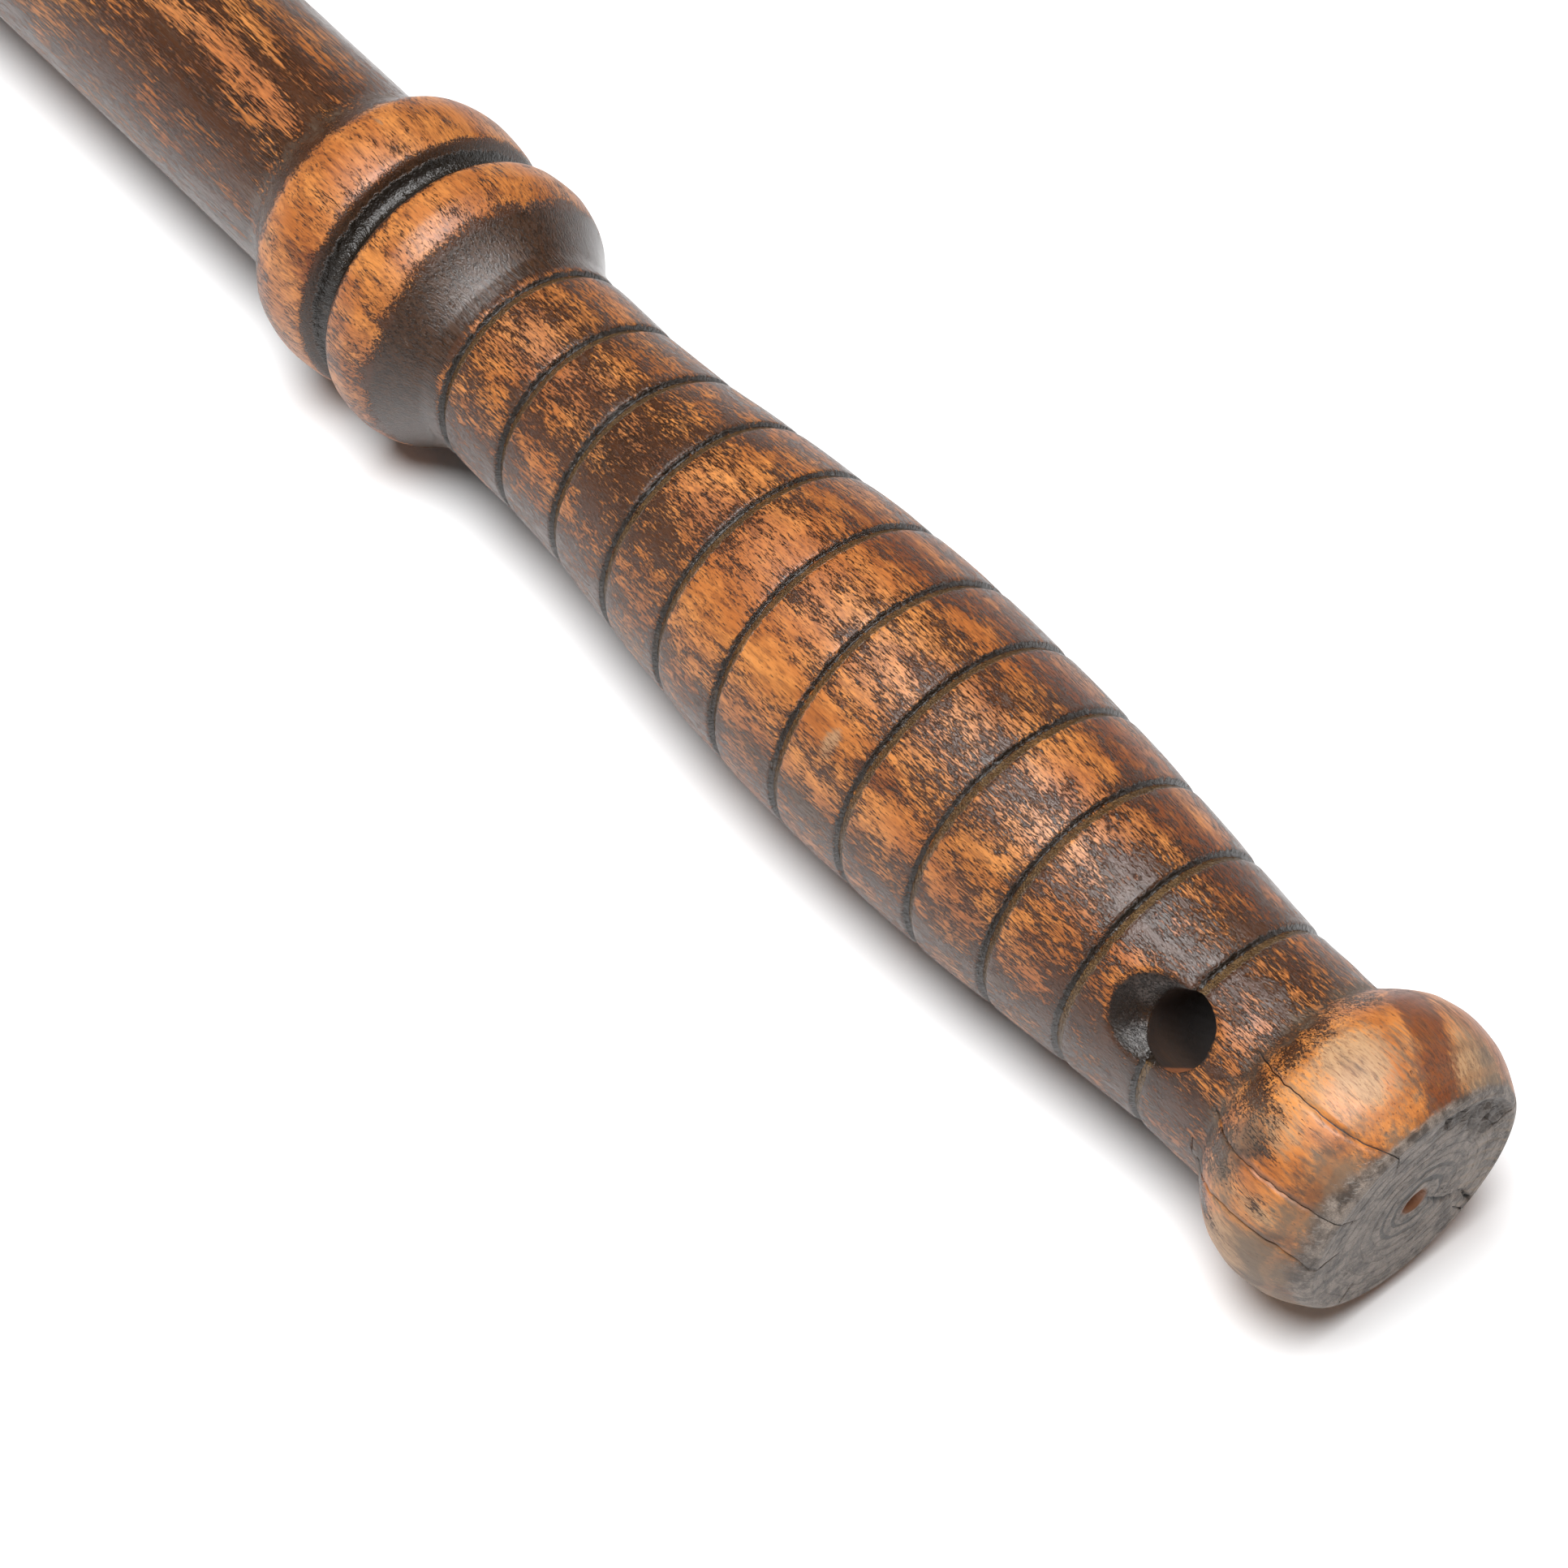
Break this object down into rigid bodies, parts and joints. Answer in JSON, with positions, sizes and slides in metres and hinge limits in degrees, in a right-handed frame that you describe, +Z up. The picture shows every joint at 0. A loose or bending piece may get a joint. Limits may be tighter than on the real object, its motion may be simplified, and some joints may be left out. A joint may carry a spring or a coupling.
{
  "type": "wooden truncheon",
  "caption": "One-piece turned wooden truncheon: plain shaft, double-bead hand stop, ring-grooved swelling grip, cross-drilled strap hole and flat-ended knob.",
  "frame": {"origin": "on the surface the truncheon lies on, straight below the middle of its length", "axes": "+X along the turning axis towards the knob, +Z up, +Y across"},
  "size_m": [0.3556, 0.038, 0.038],
  "materials": {
    "wood": "worn dark stain and varnish over orange-brown hardwood"
  },
  "bodies": {
    "root": {"turned_body": "wood"}
  },
  "joints": []
}
